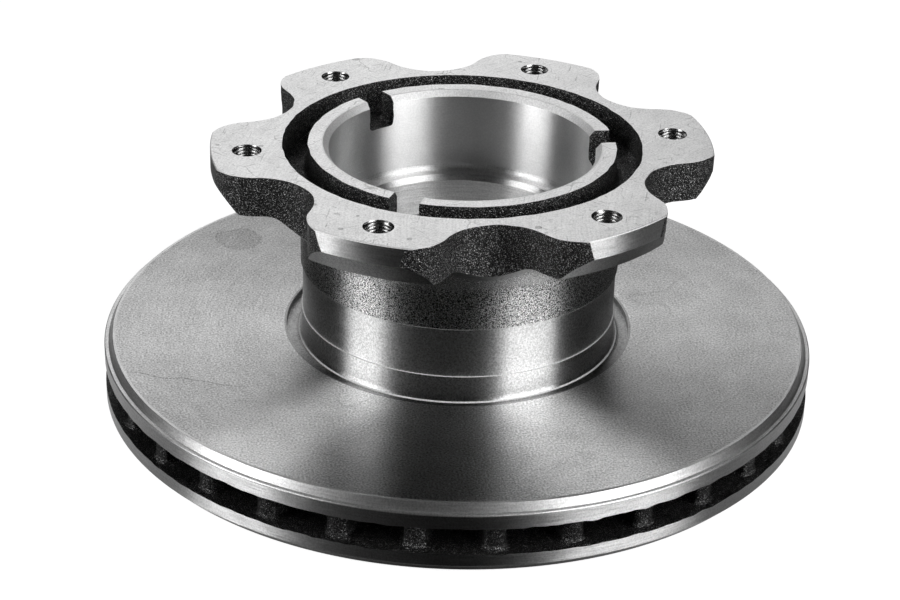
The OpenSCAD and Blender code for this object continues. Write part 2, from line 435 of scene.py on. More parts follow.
@dataclass
class LobedFlange:
    """Flange with six lobes, its outline cast and then turned. Sizes are in millimetres."""

    turned_r: float = 105.0
    cast_r: float = 106.3
    scallop_bottom: float = 80.7
    scallop_r: float = 22.9
    shoulder_r: float = 18.0
    shift: tuple[float, float] = (0.4, -0.1)
    cast_turn: float = -0.86
    draft: float = 0.09
    worn_at: float = 288.5
    worn: float = 0.6
    worn_width: float = 3.0
    lobes: int = 6
    top: float = 114.0
    lobe_low: float = 96.7
    cone_r: float = 99.0
    cone_top: float = 105.6
    chamfer: float = 0.5
    web_r: float = 85.7
    lobe_fillet: float = 6.5
    neck_r: float = 67.8
    neck_fillet: float = 8.0
    groove_r: float = 75.2
    cast_edge: float = 0.12
    cast_blend: float = 1.5
    outline_rise: float = 0.12
    wall_rise: float = 0.14
    groove_rise: float = 0.1
    lean_width: float = 3.0
    web_rows: tuple[float, ...] = (74.5, 79, 83.79, 84.9, 86.1, 87.2, 88.39)
    lobe_rows: tuple[float, ...] = (88.39, 92, 95.5)
    wobble: Ripple = field(default_factory=lambda: Ripple(11, 9.0))
    relief: Ripple = field(default_factory=lambda: Ripple(12, 4.5))

    @property
    def web_foot(self) -> float:
        """Height at which the 45 degree web would leave the neck."""
        return self.lobe_low - (self.web_r - self.neck_r)

    def cast_outline(self) -> tuple[np.ndarray, np.ndarray]:
        """Cast outline of the lobes as radius over angle, about the turned axis.

        One scallop is a circle of its own radius, joined by two shoulder circles
        that touch it outside and touch the cast circle inside. It is repeated
        for every lobe and moved by the casting's shift. One shoulder is worn by
        worn * exp(-((angle - worn_at) / worn_width)^2), as in the photograph.

        Returns:
            Angles in degrees, rising, and the radius at each.
        """
        centre = self.scallop_bottom + self.scallop_r
        reach, gap = self.cast_r - self.shoulder_r, self.scallop_r + self.shoulder_r
        x = (reach**2 - gap**2 + centre**2) / (2 * centre)
        y = math.sqrt(reach**2 - x**2)
        meet = math.degrees(math.atan2(y, x - centre))
        run_out = math.degrees(math.atan2(y, x))
        shoulder = arc((x, y), self.shoulder_r, meet - 180, run_out, 120)
        half_pitch = 180 / self.lobes
        rim = arc((0, 0), self.cast_r, run_out, half_pitch, 60)[1:]
        upper = np.concatenate([shoulder[1:], rim])
        lower = (upper * [1, -1])[::-1]
        bottom = arc((centre, 0), self.scallop_r, 360 - meet, meet, 200)
        one = np.concatenate([lower, bottom, upper])
        points = []
        for k in range(self.lobes):
            points.append(one @ turned((k + 0.5) * 360 / self.lobes + self.cast_turn)[:2, :2])
        points = np.concatenate(points) + self.shift
        angle = np.degrees(np.arctan2(points[:, 1], points[:, 0])) % 360
        order = np.argsort(angle)
        angle, radius = angle[order], np.hypot(points[:, 0], points[:, 1])[order]
        return angle, radius - self.worn * np.exp(-(((angle - self.worn_at) / self.worn_width) ** 2))

    def corners(self, depth: float) -> np.ndarray:
        """Angles of the lobes' corners, where the cast outline passes the turned radius.

        They are found on angles that are 0.005 degrees apart.

        Args:
            depth: Distance below the top face.

        Returns:
            Two angles for each lobe, in degrees.
        """
        fine = np.linspace(0, 360, 72001)
        over = np.interp(fine, *self.cast_outline(), period=360) - self.draft * depth > self.turned_r
        return fine[1:][over[1:] != over[:-1]]

    def stations(self) -> np.ndarray:
        """Angles of the columns: even steps, with the nearest one moved to each lobe's corner.

        Returns:
            Array of COLUMNS + 1 angles from 0 to 360 degrees.
        """
        even = np.linspace(0, 360, COLUMNS + 1)
        for corner in self.corners(0.0):
            even[np.argmin(np.abs(even - corner))] = corner
        return even

    def leaned(self, angle: np.ndarray, depth: float) -> np.ndarray:
        """Angles of the columns below the top face, where draft has moved the lobes' corners.

        Each corner's move fades with the distance from it as exp(-(distance / lean_width)^2).

        Args:
            angle: Angles of the columns in the top face.
            depth: Distance below the top face.

        Returns:
            Angles of the same columns at that depth.
        """
        at_top = self.corners(0.0)
        move = self.corners(depth) - at_top
        away = (angle[:, None] - at_top + 180) % 360 - 180
        return angle + (np.exp(-((away / self.lean_width) ** 2)) * move).sum(axis=1)

    def outline(self, angle: np.ndarray, depth: float = 0.0) -> tuple[np.ndarray, np.ndarray]:
        """Radius of the finished outline and how much of it is cast.

        Args:
            angle: Angles in degrees.
            depth: Distance below the top face.

        Returns:
            The smaller of the cast and the turned radius, and a mask that is 1
            on the cast scallops and 0 on the turned edges.
        """
        cast = np.interp(angle, *self.cast_outline(), period=360) - self.draft * depth
        mask = np.clip((self.turned_r - cast) / self.cast_blend, 0, 1)
        ripple = self.wobble.at(polar_grid(cast, angle, 100.0))
        return np.minimum(cast, self.turned_r) + self.outline_rise * mask * ripple, mask

    def underside(self, radius: np.ndarray) -> np.ndarray:
        """Height of the flange's underside over the radius: web, fillet, lobe and turned cone."""
        tangent = self.lobe_fillet * math.tan(math.radians(22.5))
        centre_r, centre_z = self.web_r + tangent, self.lobe_low - self.lobe_fillet
        start = centre_r - self.lobe_fillet * math.sin(math.radians(45))
        web = self.lobe_low - (self.web_r - radius)
        fillet = centre_z + np.sqrt(np.clip(self.lobe_fillet**2 - (radius - centre_r) ** 2, 0, None))
        rise = (self.cone_top - self.lobe_low) / (self.turned_r - self.cone_r)
        cone = self.lobe_low + (radius - self.cone_r) * rise
        inside = [radius < start, radius < centre_r, radius < self.cone_r]
        return np.select(inside, [web, fillet, self.lobe_low], cone)

    def build(self, shell: Shell, angle: np.ndarray) -> None:
        """Add web, underside, edge and top face, from the neck's fillet to the groove.

        The underside's rows stand at given radii, which shrink in the scallops as
        the outline comes in. The edge's rows run from the underside to the top,
        and a quarter round joins them to the top face.

        Args:
            shell: Shell that takes the patches.
            angle: Angles of the columns, with the lobes' corners among them.
        """
        edge, cast = self.outline(angle)
        depth = self.top - self.cone_top
        low_angle = self.leaned(angle, depth)
        low_edge, _ = self.outline(low_angle, depth)
        start = self.neck_r + self.neck_fillet * (1 - math.cos(math.radians(45)))
        rows = np.array([start, *self.web_rows]), np.array([*self.lobe_rows, self.cone_r])
        inner = np.minimum(low_edge, self.cone_r)
        shrunk = (inner - start) / (self.cone_r - start)
        web, lobe = (start + (marks[:, None] - start) * shrunk for marks in rows)
        cone = inner + (low_edge - inner) * np.linspace(0, 1, 4)[:, None]
        # The web is blasted; the lobes' underside and cone take the darker turned iron, which paints their
        # shade.
        for radius, skin in ((web, Skin.BLASTED), (lobe, Skin.TURNED_PAINTED_SHADE), (cone, Skin.TURNED_PAINTED_SHADE)):
            towards = angle + (low_angle - angle) * (radius - start) / (low_edge - start)
            shell.add(polar_grid(radius, towards, self.underside(radius)), skin)
        ease = self.chamfer + (self.cast_edge - self.chamfer) * cast
        foot, head = self.underside(low_edge), self.top - ease
        rise = np.linspace(0, 1, 9)[:, None]
        wall = foot + (head - foot) * rise
        columns_at = np.stack([self.leaned(angle, depth * (1 - t)) for t in rise[:, 0]])
        radius = np.stack([self.outline(a, depth * (1 - t))[0] for a, t in zip(columns_at, rise[:, 0])])
        uneven = self.relief.at(polar_grid(radius, columns_at, wall))
        sag = self.wall_rise * cast * np.sin(math.pi * rise) ** 0.5 * uneven
        grid = polar_grid(radius + sag, columns_at, wall)
        columns = (cast[:-1] > 0) | (cast[1:] > 0)
        self._runs(shell, grid, columns, Skin.CAST)
        self._runs(shell, grid, ~columns, Skin.TURNED)
        bend = np.radians(np.linspace(0, 90, 4))[:, None]
        round_edge = polar_grid(edge - ease * (1 - np.cos(bend)), angle, head + ease * np.sin(bend))
        # The rounded top edge takes the lighter edge finish, a painted highlight line.
        shell.add(round_edge, Skin.EDGE)
        groove = self.groove_edge(angle)
        radius = (edge - ease) + (groove - (edge - ease)) * np.linspace(0, 1, 5)[:, None]
        shell.add(polar_grid(radius, angle[None, :], self.top), Skin.MILLED)
        LOG.info("flange: %d lobes", self.lobes)

    def groove_edge(self, angle: np.ndarray) -> np.ndarray:
        """Radius of the groove's outer edge in the top face, with its cast wobble."""
        return self.groove_r + self.groove_rise * self.wobble.at(polar_grid(self.groove_r, angle, self.top))

    @staticmethod
    def _runs(shell: Shell, grid: np.ndarray, chosen: np.ndarray, skin: Skin) -> None:
        """Add the columns of a grid that are chosen, run by run.

        Args:
            shell: Shell that takes the patches.
            grid: Points of the whole wall.
            chosen: For each strip between two columns, whether it is wanted.
            skin: The strips' kind of surface.
        """
        edges = np.flatnonzero(np.diff(np.concatenate([[0], chosen.astype(int), [0]])))
        for first, last in zip(edges[::2], edges[1::2]):
            shell.add(grid[:, first : last + 1], skin)


@dataclass
class NeckAndBore:
    """Neck, friction face round its foot, pilot ring, bores and hollow. Sizes are in millimetres."""

    ring: FrictionRing
    flange: LobedFlange
    relief_r: float = 74.0
    relief_z: float = 27.5
    foot_r: float = 67.6
    foot_fillet: float = 2.8
    foot_top: float = 39.4
    turned_r: float = 67.0
    turned_top: float = 61.0
    land_out: float = 64.4
    lead_r: float = 58.2
    pilot_r: float = 56.0
    lead_z: float = 111.4
    shoulder_z: float = 76.4
    shoulder_fillet: float = 3.4
    clear_r: float = 50.0
    clear_low: float = 58.4
    hollow_r: float = 58.0
    groove_floor: float = 100.8
    groove_fillet: float = 3.0
    groove_draft: float = 0.5
    hollow_low: float = 38.0
    neck_blend_z: float = 68.0
    bore_blend_z: tuple[float, float] = (99.0, 90.0)
    edge_rise: float = 0.1
    wall_rise: float = 0.13
    wobble: Ripple = field(default_factory=lambda: Ripple(21, 8.0))
    relief: Ripple = field(default_factory=lambda: Ripple(22, 4.0))

    def outside(self, shell: Shell, even: np.ndarray, snapped: np.ndarray) -> None:
        """Add rim, friction face, relief groove and neck, up to the web.

        Each stretch is a profile carried round the axis. Between turned_top and
        the web the columns move from the even angles to the flange's own.

        Args:
            shell: Shell that takes the patches.
            even: Even angles, shared with the vents.
            snapped: Angles of the flange's columns.
        """
        ring, flange = self.ring, self.flange
        bevel = ring.edge_profile(0.35) * [1, -1] + [0, ring.top]
        band = ring.rim_band(ring.vent_edge(even, ring.high_vent), np.full(even.shape, bevel[0, 1]), even)
        shell.add(band, Skin.TURNED)
        shell.add(revolved(bevel, even), Skin.STEP)
        reach = np.array([[ring.face_r - ring.face_land], [125], [100], [self.relief_r + 1]])
        shell.add(polar_grid(reach, even, ring.top), Skin.FRICTION)
        relief = eased(
            [
                (self.relief_r + 1, ring.top, 0),
                (self.relief_r, ring.top, 0.25),
                (self.relief_r, self.relief_z, 0.5),
                (self.foot_r + self.foot_fillet, self.relief_z, 0),
            ]
        )
        bend = self.foot_r + self.foot_fillet, self.relief_z + self.foot_fillet
        fillet = arc(bend, self.foot_fillet, 270, 180, 6)
        step = eased(
            [
                (self.foot_r, self.foot_top - 1.4, 0),
                (self.foot_r, self.foot_top - 0.25, 0.15),
                (self.turned_r, self.foot_top, 0.1),
                (self.turned_r, self.foot_top + 0.4, 0),
            ]
        )
        above = np.concatenate([step[4:], [[self.turned_r, self.turned_top]]])
        # The relief groove and the start of the foot fillet take the darker turned iron, painted shade in
        # the groove.
        shell.add(revolved(np.concatenate([relief, fillet[1:3]]), even), Skin.TURNED_PAINTED_SHADE)
        # The middle of the foot fillet, the step chamfer and the ledge take the lighter edge finish, a
        # painted highlight line.
        shell.add(revolved(fillet[2:4], even), Skin.EDGE)
        shell.add(revolved(np.concatenate([fillet[3:], step[:4]]), even), Skin.NECK)
        shell.add(revolved(step[3:5], even), Skin.EDGE)
        shell.add(revolved(above, even), Skin.NECK)
        ledge = np.array(
            [
                [self.turned_r, self.turned_top],
                [flange.neck_r - 0.15, self.turned_top],
                [flange.neck_r, self.turned_top + 0.2],
            ]
        )
        shell.add(revolved(ledge, even), Skin.EDGE)
        tangent = flange.web_foot - flange.neck_fillet * math.tan(math.radians(22.5))
        shell.add(
            np.stack(
                [
                    polar_grid(flange.neck_r, even, self.turned_top + 0.2),
                    polar_grid(flange.neck_r, (even + snapped) / 2, self.neck_blend_z),
                    polar_grid(flange.neck_r, snapped, tangent),
                ]
            ),
            Skin.BLASTED,
        )
        curve = arc((flange.neck_r + flange.neck_fillet, tangent), flange.neck_fillet, 180, 135, 8)
        shell.add(revolved(curve, snapped), Skin.BLASTED)

    def groove(self, shell: Shell, snapped: np.ndarray) -> None:
        """Add the cast groove between the top face and the pilot ring.

        The section is carried round with a ripple across its walls that fades
        at the two top edges, which have a wobble of their own.

        Args:
            shell: Shell that takes the patch.
            snapped: Angles of the flange's columns.
        """
        out_low = self.flange.groove_r - self.groove_draft
        in_low = self.land_out + self.groove_draft
        turn = self.groove_floor + self.groove_fillet
        top = self.flange.top
        outer_wall = np.linspace([self.flange.groove_r, top], [out_low, turn], 5)
        outer_bend = arc((out_low - self.groove_fillet, turn), self.groove_fillet, 0, -90, 4)
        inner_bend = arc((in_low + self.groove_fillet, turn), self.groove_fillet, 270, 180, 4)
        inner_wall = np.linspace([in_low, turn], [self.land_out, top], 5)
        section = np.concatenate([outer_wall, outer_bend[1:], inner_bend, inner_wall[1:]])
        grid = revolved(section, snapped)
        rows = len(section)
        fade = np.sin(np.linspace(0, math.pi, rows)) ** 0.5
        ripple = self.wall_rise * self.relief.at(grid) * fade[:, None]
        middle = (out_low + in_low) / 2
        radius = section[:, :1] + ripple * np.where(section[:, :1] > middle, 1, -1)
        height = section[:, 1:] + np.where(section[:, 1:] < turn, ripple, 0)
        radius[0] = self.flange.groove_edge(snapped)
        radius[-1] = self.land_edge(snapped)
        shell.add(polar_grid(radius, snapped[None, :], height), Skin.CAST)

    def land_edge(self, angle: np.ndarray) -> np.ndarray:
        """Radius of the pilot ring's outer edge, with its cast wobble."""
        place = polar_grid(self.land_out, angle, self.flange.top)
        return self.land_out + self.edge_rise * self.wobble.at(place)

    def inside(self, shell: Shell, even: np.ndarray, snapped: np.ndarray) -> None:
        """Add the pilot ring's land, the bores, the hollow and its mouth into the vents.

        Args:
            shell: Shell that takes the patches.
            even: Even angles, shared with the vents.
            snapped: Angles of the flange's columns.
        """
        top = self.flange.top
        blend_top, blend_low = self.bore_blend_z
        land = self.land_edge(snapped)
        radius = np.stack([land, (land + self.lead_r) / 2 + 0.5, np.full(land.shape, self.lead_r + 0.6)])
        shell.add(polar_grid(radius, snapped[None, :], top), Skin.MILLED)
        lead = eased(
            [
                (self.lead_r + 0.6, top, 0),
                (self.lead_r, top, 0.25),
                (self.pilot_r, self.lead_z, 0.3),
                (self.pilot_r, blend_top, 0),
            ]
        )
        # The lead-in chamfer takes the lighter edge finish, a painted highlight line.
        shell.add(revolved(lead[:5], snapped), Skin.EDGE)
        shell.add(revolved(lead[4:], snapped), Skin.BORE)
        upper = polar_grid(self.pilot_r, snapped, blend_top)
        lower = polar_grid(self.pilot_r, even, blend_low)
        shell.add(np.stack([upper, lower]), Skin.BORE)
        bend_z = self.shoulder_z + self.shoulder_fillet
        bend = arc((self.pilot_r - self.shoulder_fillet, bend_z), self.shoulder_fillet, 0, -90, 7)
        ledge = eased(
            [
                (self.pilot_r - self.shoulder_fillet, self.shoulder_z, 0),
                (self.clear_r + 1.6, self.shoulder_z, 0.3),
                (self.clear_r, self.shoulder_z - 2.4, 0.3),
                (self.clear_r, self.clear_low, 0),
            ]
        )
        shell.add(revolved(np.array([[self.pilot_r, blend_low], bend[0]]), even), Skin.BORE)
        shell.add(revolved(np.concatenate([bend, ledge[1:]]), even), Skin.TURNED)
        mouth_z = self.ring.high_vent
        round_r = self.ring.mouth_r - self.hollow_r
        cone_foot = self.clear_low - (self.hollow_r - self.clear_r)
        cone = [[self.clear_r, self.clear_low], [self.hollow_r, cone_foot]]
        mouth = arc((self.hollow_r + round_r, mouth_z + round_r), round_r, 180, 270, 5)
        hollow = np.concatenate([cone, [[self.hollow_r, self.hollow_low]], mouth])
        # The hollow takes the vents' darker cast skin, which paints its shade.
        shell.add(revolved(hollow, even), Skin.VENT_PAINTED_SHADE)
        LOG.info("neck, pilot ring and bores")

    def build(self, shell: Shell, even: np.ndarray, snapped: np.ndarray) -> None:
        """Add all of the neck and the bores to the shell."""
        self.outside(shell, even, snapped)
        self.groove(shell, snapped)
        self.inside(shell, even, snapped)


@dataclass
class TappedHoles:
    """Threaded holes as cutting bodies, one on each lobe. Sizes are in millimetres."""

    count: int = 6
    circle_r: float = 90.0
    core_r: float = 5.2
    root_r: float = 6.0
    mouth_r: float = 6.2
    pitch: float = 1.5
    top: float = 114.0
    low: float = 95.0
    above: float = 1.0
    start_step: float = 40.0
    columns: int = 40

    def build(self, shell: Shell) -> None:
        """Add one closed cutting body for each hole.

        The wall is a grid over the turn u and the row v. Its height falls by one
        pitch for each turn, so that the rows follow the helix, and its radius
        runs from the thread's root over a rounded shoulder to the crest and
        back: six rows to a pitch. Heights are held between the two ends, and the
        countersink is the larger of the thread's radius and a 45 degree cone.
        The threads start at different angles, start_step apart.

        Args:
            shell: Shell that takes the patches.
        """
        phases = np.array([0.0, 0.14, 0.36, 0.5, 0.64, 0.86])
        radii = self.core_r + (self.root_r - self.core_r) * np.array([1, 0.85, 0.15, 0, 0.15, 0.85])
        head = self.top + self.above
        turns = int((head - self.low) / self.pitch) + 3
        rows = (np.arange(turns)[:, None] + phases).reshape(-1)
        wall_r = np.tile(radii, turns)
        u = np.linspace(0, 1, self.columns + 1)[None, :]
        height = head - self.pitch * (rows[:, None] - 1 + u)
        height = np.clip(height, self.low, head)
        radius = np.maximum(wall_r[:, None], self.mouth_r + (height - self.top))
        radius = np.where(height <= self.low, self.core_r, radius)
        height = np.concatenate([np.full((1, u.size), head), height, np.full((1, u.size), self.low)])
        radius = np.concatenate([np.zeros((1, u.size)), radius, np.zeros((1, u.size))])
        for k in range(self.count):
            place = math.radians(k * 360 / self.count)
            grid = polar_grid(radius, u * 360 + self.start_step * k, height)
            grid[..., 0] += self.circle_r * math.cos(place)
            grid[..., 1] += self.circle_r * math.sin(place)
            shell.add(grid, Skin.THREAD)
        LOG.info("tapped holes: %d", self.count)


@dataclass
class RingSlots:
    """Slots through the pilot ring as cutting bodies. Sizes are in millimetres."""

    count: int = 3
    width: float = 12.8
    floor: float = 100.9
    fillet: float = 1.6
    top: float = 115.5
    start_r: float = 30.0
    end_r: float = 69.6
    wall_rise: float = 0.12
    relief: Ripple = field(default_factory=lambda: Ripple(31, 3.5))

    def build(self, shell: Shell) -> None:
        """Add one closed cutting body for each slot.

        The section across the slot is carried outwards from the bore to the
        middle of the groove, and its sides have a small ripple.

        Args:
            shell: Shell that takes the patches.
        """
        half = self.width / 2
        left = arc((-half + self.fillet, self.floor + self.fillet), self.fillet, 180, 270, 4)
        right = arc((half - self.fillet, self.floor + self.fillet), self.fillet, 270, 360, 4)
        rise = np.linspace(self.floor + self.fillet, self.top, 6)[1:]
        section = np.concatenate(
            [
                np.stack([np.full(5, -half), rise[::-1]], axis=1),
                left,
                right,
                np.stack([np.full(5, half), rise], axis=1),
                [[-half, self.top]],
            ]
        )
        reach = np.concatenate([[self.start_r], np.linspace(55, self.end_r, 16)])
        for k in range(self.count):
            x = np.broadcast_to(reach[:, None], (reach.size, len(section)))
            y = np.broadcast_to(section[:, 0], x.shape)
            z = np.broadcast_to(section[:, 1], x.shape)
            grid = np.stack([x, y, z], axis=-1)
            grid[..., 1] += self.wall_rise * self.relief.at(grid + 50.0 * k) * np.abs(section[:, 0]) / half
            grid[:, -1] = grid[:, 0]
            caps = []
            for end in (grid[0], grid[-1]):
                centre = np.broadcast_to(end.mean(axis=0), end.shape)
                caps.append(np.stack([end, centre]))
            for patch in (grid, *caps):
                shell.add(patch @ turned(k * 360 / self.count), Skin.CAST)
        LOG.info("slots: %d", self.count)


@dataclass
class BrakeDisc:
    """The whole disc: one welded shell, drilled, tapped and slotted."""

    materials: list[bpy.types.Material]
    smooth_angle: float = 32.0

    def build(self) -> bpy.types.Object:
        """Build the casting, cut the holes and slots, and shade it.

        Returns:
            The finished object, at the origin and in metres.
        """
        ring, flange = FrictionRing(), LobedFlange()
        neck = NeckAndBore(ring, flange)
        even = np.linspace(0, 360, COLUMNS + 1)
        snapped = flange.stations()
        casting = Shell()
        ring.build(casting, even)
        neck.build(casting, even, snapped)
        flange.build(casting, snapped)
        body = casting.to_object("brake_disc_body", self.materials)
        tools = Shell()
        TappedHoles().build(tools)
        RingSlots().build(tools)
        cutter = tools.to_object("cutting_bodies", self.materials)
        return self._cut(body, cutter)

    def _cut(self, body: bpy.types.Object, cutter: bpy.types.Object) -> bpy.types.Object:
        """Take the cutting bodies out of the casting and smooth its surfaces.

        Args:
            body: The closed casting.
            cutter: The closed cutting bodies.

        Returns:
            The casting with its holes and slots.
        """
        cut = body.modifiers.new("cut", "BOOLEAN")
        cut.operation = "DIFFERENCE"
        cut.solver = "EXACT"
        cut.object = cutter
        self._apply(body)
        bpy.data.objects.remove(cutter)
        mesh = body.data
        mesh.polygons.foreach_set("use_smooth", np.ones(len(mesh.polygons), bool))
        mesh.set_sharp_from_angle(angle=math.radians(self.smooth_angle))
        weight = body.modifiers.new("weighted", "WEIGHTED_NORMAL")
        weight.mode = "FACE_AREA_WITH_ANGLE"
        weight.keep_sharp = True
        self._apply(body)
        body.name = "brake_disc_casting"
        body.data.name = "brake_disc_casting"
        LOG.info("casting: %d faces", len(body.data.polygons))
        return body

    @staticmethod
    def _apply(piece: bpy.types.Object) -> None:
        """Swap a piece's mesh for the one its modifiers give, and drop them."""
        graph = bpy.context.evaluated_depsgraph_get()
        mesh = bpy.data.meshes.new_from_object(piece.evaluated_get(graph), depsgraph=graph)
        piece.modifiers.clear()
        piece.data = mesh


# Finishes


class NodeSketch:
    """Short calls that draw one node tree."""

    def __init__(self, tree: bpy.types.NodeTree) -> None:
        """Start on an emptied tree."""
        self.tree = tree
        self.tree.nodes.clear()
        self.place = self.node("ShaderNodeTexCoord").outputs["Object"]

    def node(self, kind: str, **settings: object) -> bpy.types.Node:
        """Add a node and set its attributes."""
        made = self.tree.nodes.new(kind)
        for key, value in settings.items():
            setattr(made, key, value)
        return made

    def feed(self, socket: bpy.types.NodeSocket, value: object) -> None:
        """Link a socket into an input, or write a plain value there."""
        if isinstance(value, bpy.types.NodeSocket):
            self.tree.links.new(value, socket)
        else:
            socket.default_value = value

    def math(self, operation: str, *values: object) -> bpy.types.NodeSocket:
        """One Math node.

        Args:
            operation: Name of the operation.
            values: Its inputs, sockets or numbers.

        Returns:
            The result's socket.
        """
        made = self.node("ShaderNodeMath", operation=operation)
        for socket, value in zip(made.inputs, values):
            self.feed(socket, value)
        return made.outputs[0]

    def times(self, first: object, second: object) -> bpy.types.NodeSocket:
        """Product of two values."""
        return self.math("MULTIPLY", first, second)

    def minus(self, first: object, second: object) -> bpy.types.NodeSocket:
        """Difference of two values."""
        return self.math("SUBTRACT", first, second)

    def sum(self, *values: object) -> bpy.types.NodeSocket:
        """All the values added up."""
        total = values[0]
        for value in values[1:]:
            total = self.math("ADD", total, value)
        return total

    def split(self, vector: bpy.types.NodeSocket) -> tuple[bpy.types.NodeSocket, ...]:
        """The three parts of a vector."""
        made = self.node("ShaderNodeSeparateXYZ")
        self.feed(made.inputs[0], vector)
        return tuple(made.outputs)

    def join(self, *parts: object) -> bpy.types.NodeSocket:
        """A vector from three parts."""
        made = self.node("ShaderNodeCombineXYZ")
        for socket, value in zip(made.inputs, parts):
            self.feed(socket, value)
        return made.outputs[0]

    def noise(
        self, vector: object, scale: float, detail: float = 2.0, roughness: float = 0.5, w: object = None
    ) -> bpy.types.NodeSocket:
        """A noise pattern.

        Args:
            vector: Where it is read.
            scale: Features per unit of the vector.
            detail: Number of finer layers.
            roughness: Weight of the finer layers.
            w: Fourth coordinate, if any.

        Returns:
            The pattern's value, about 0.5 on average.
        """
        made = self.node("ShaderNodeTexNoise", noise_dimensions="3D" if w is None else "4D")
        self.feed(made.inputs["Vector"], vector)
        made.inputs["Scale"].default_value = scale
        made.inputs["Detail"].default_value = detail
        made.inputs["Roughness"].default_value = roughness
        if w is not None:
            self.feed(made.inputs["W"], w)
        return made.outputs["Fac"]

    def range(
        self, value: object, low: float, high: float, to_low: float, to_high: float
    ) -> bpy.types.NodeSocket:
        """Carry a value from one range to another, held at the ends."""
        made = self.node("ShaderNodeMapRange", clamp=True)
        self.feed(made.inputs["Value"], value)
        for key, number in zip(("From Min", "From Max", "To Min", "To Max"), (low, high, to_low, to_high)):
            made.inputs[key].default_value = number
        return made.outputs["Result"]

    def grey(self, value: object) -> bpy.types.NodeSocket:
        """A grey colour from a value."""
        made = self.node("ShaderNodeCombineColor")
        for socket in made.inputs:
            self.feed(socket, value)
        return made.outputs[0]

    def bump(
        self, height: object, strength: float, distance: float, under: object = None
    ) -> bpy.types.NodeSocket:
        """A bumped normal.

        Args:
            height: Pattern that raises the surface.
            strength: How much of it counts.
            distance: Height of one unit, in metres.
            under: Another bumped normal that this one lies on.

        Returns:
            The normal's socket.
        """
        made = self.node("ShaderNodeBump")
        made.inputs["Strength"].default_value = strength
        made.inputs["Distance"].default_value = distance
        self.feed(made.inputs["Height"], height)
        if under is not None:
            self.feed(made.inputs["Normal"], under)
        return made.outputs["Normal"]

    def radius(self, x: float = 0.0, y: float = 0.0) -> bpy.types.NodeSocket:
        """Distance from the upright line through a point, or else from the axis of the disc.

        Args:
            x: Place of the line, in metres.
            y: Place of the line, in metres.

        Returns:
            The distance in metres.
        """
        east, north, _ = self.split(self.place)
        away = self.minus(east, x), self.minus(north, y)
        return self.math("SQRT", self.sum(*(self.times(part, part) for part in away)))

    def along(self, east: object, north: object, cos: float, sin: float) -> tuple[object, object]:
        """Distances along and across a direction.

        Args:
            east: Distance in X.
            north: Distance in Y.
            cos: Cosine of the direction's angle from the X axis.
            sin: Its sine.

        Returns:
            east * cos + north * sin, and north * cos - east * sin.
        """
        ahead = self.sum(self.times(east, cos), self.times(north, sin))
        aside = self.sum(self.times(north, cos), self.times(east, -sin))
        return ahead, aside

    def scratches(self, heading: float, length: float, width: float, rarity: float) -> bpy.types.NodeSocket:
        """Scratches in one direction: the peaks of a noise that is drawn out along it.

        Args:
            heading: Direction of the scratches, in degrees from the X axis.
            length: Length of one scratch, in metres.
            width: Its width, in metres.
            rarity: Height of the noise above which it counts, from 0.5 (half of all) upwards.

        Returns:
            1 on a scratch and 0 beside it.
        """
        x, y, z = self.split(self.place)
        bend = self.times(self.noise(self.place, 30.0, 1.0), 0.004)
        ahead, aside = self.along(x, y, math.cos(math.radians(heading)), math.sin(math.radians(heading)))
        across = self.math("DIVIDE", self.sum(aside, bend, z), width)
        place = self.join(self.math("DIVIDE", ahead, length), across, heading)
        return self.range(self.noise(place, 1.0, 0.0), rarity, rarity + 0.05, 0.0, 1.0)

    def contours(self, scale: float, level: float, width: float) -> bpy.types.NodeSocket:
        """Thin curved lines, such as tide marks: the places where a smooth noise passes a level.

        Args:
            scale: Patterns per metre.
            level: Value that draws the line.
            width: Difference from it at which the line ends.

        Returns:
            1 on a line and 0 beside it.
        """
        away = self.math("ABSOLUTE", self.minus(self.noise(self.place, scale, 2.0, 0.4), level))
        return self.range(away, 0.0, width, 1.0, 0.0)

    def drop(self, x: float, y: float, size: float) -> bpy.types.NodeSocket:
        """A dried drop: a disc with a stronger edge, both bent by a noise.

        Args:
            x: Place of its middle, in metres.
            y: Place of its middle, in metres.
            size: Its radius, in metres.

        Returns:
            Up to 1 on the edge, 0.4 inside it and 0 beside it.
        """
        bend = self.times(self.minus(self.noise(self.place, 90.0, 3.0), 0.5), 1.3)
        reach = self.sum(self.math("DIVIDE", self.radius(x, y), size), bend)
        edge = self.range(self.math("ABSOLUTE", self.minus(reach, 1.0)), 0.0, 0.14, 0.6, 0.0)
        return self.sum(edge, self.range(reach, 0.9, 1.05, 0.4, 0.0))

    def hair(
        self, start: tuple[float, float], end: tuple[float, float], width: float
    ) -> bpy.types.NodeSocket:
        """One long scratch between two points, slightly bent by a noise.

        Args:
            start: Where it starts, in metres.
            end: Where it ends, in metres.
            width: Distance from its line at which it has faded, in metres.

        Returns:
            1 on the scratch and 0 beside it.
        """
        reach = math.hypot(end[0] - start[0], end[1] - start[1])
        cos, sin = (end[0] - start[0]) / reach, (end[1] - start[1]) / reach
        x, y, _ = self.split(self.place)
        ahead, aside = self.along(self.minus(x, start[0]), self.minus(y, start[1]), cos, sin)
        bend = self.times(self.minus(self.noise(self.place, 60.0, 1.0), 0.5), 0.008)
        middle = self.math("ABSOLUTE", self.minus(ahead, reach / 2))
        inside = self.range(middle, reach * 0.4, reach / 2, 1.0, 0.0)
        near = self.range(self.math("ABSOLUTE", self.sum(aside, bend)), 0.0, width, 1.0, 0.0)
        return self.times(inside, near)

